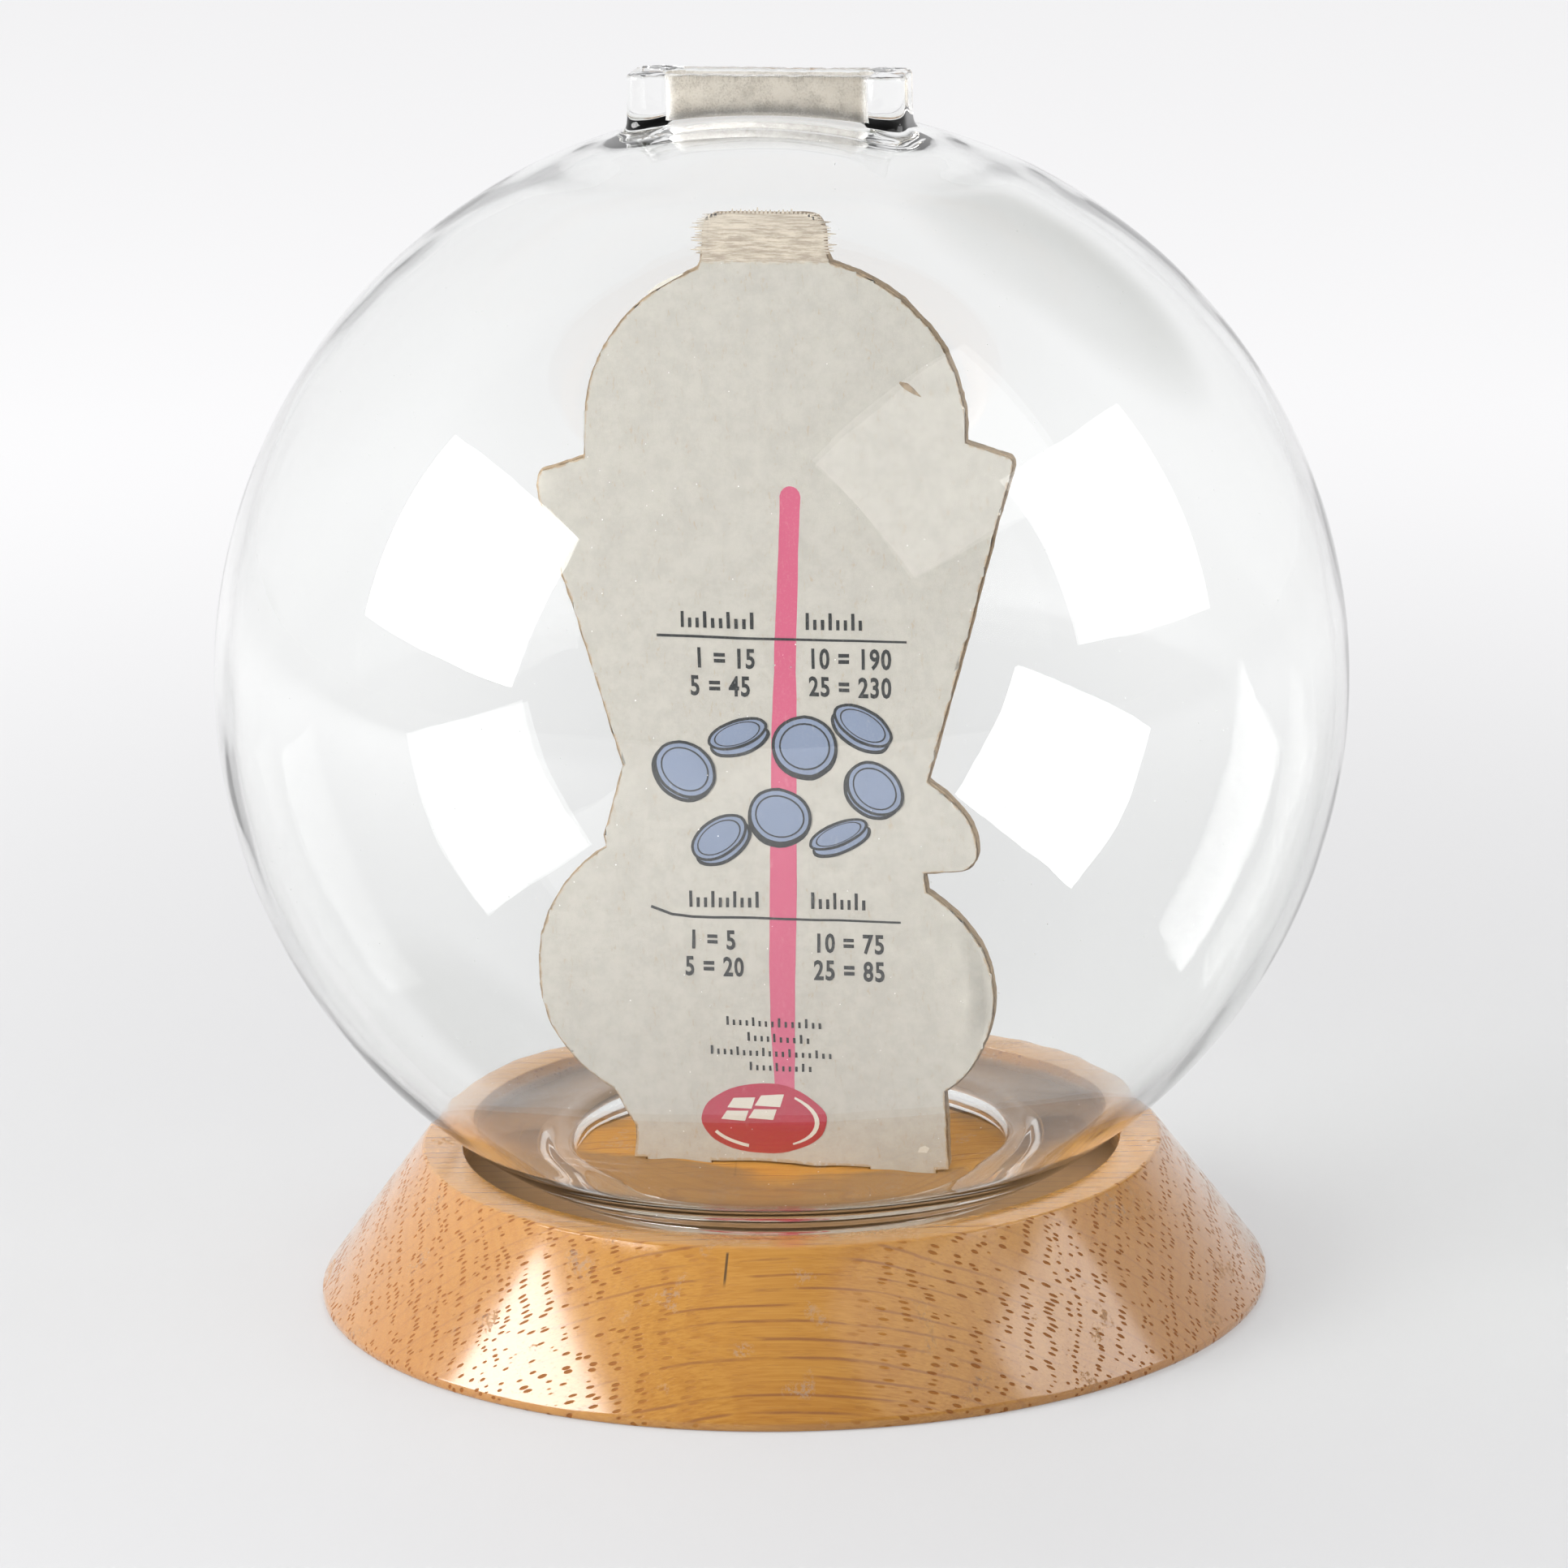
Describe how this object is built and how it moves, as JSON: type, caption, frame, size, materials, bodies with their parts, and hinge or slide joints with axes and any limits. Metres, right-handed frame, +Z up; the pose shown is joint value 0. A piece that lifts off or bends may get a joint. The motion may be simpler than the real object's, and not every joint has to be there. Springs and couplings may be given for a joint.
{
  "type": "glass globe coin bank",
  "caption": "Coin bank: clear glass globe with a coin slot in a raised collar, standing in a turned wooden base, with a cut-out card fill gauge inside.",
  "frame": {"origin": "middle of the base's underside, on the surface that the bank stands on", "axes": "+Z up through the coin slot; slot and card run along X; the card's gauge side faces -Y"},
  "size_m": [0.166, 0.166, 0.1811],
  "materials": {
    "oak": "varnished oak, semi-gloss",
    "clear_glass": "clear blown glass, polished",
    "chipboard": "raw cut chipboard edge",
    "gauge_paper": "uncoated grey paper with printed gauge",
    "rear_paper": "uncoated cream paper"
  },
  "bodies": {
    "base": {"wood_base": "oak"},
    "globe": {"glass_globe": "clear_glass"},
    "card": {"card_core": "chipboard", "card_gauge_sheet": "gauge_paper", "card_rear_sheet": "rear_paper"}
  },
  "joints": [
    {"name": "globe_lift", "type": "slide", "parent": "base", "child": "globe", "axis": [0, 0, 1], "range_m": [0, 0.09]},
    {"name": "card_slide", "type": "slide", "parent": "globe", "child": "card", "axis": [0, 0, 1], "range_m": [0, 0.01]}
  ]
}
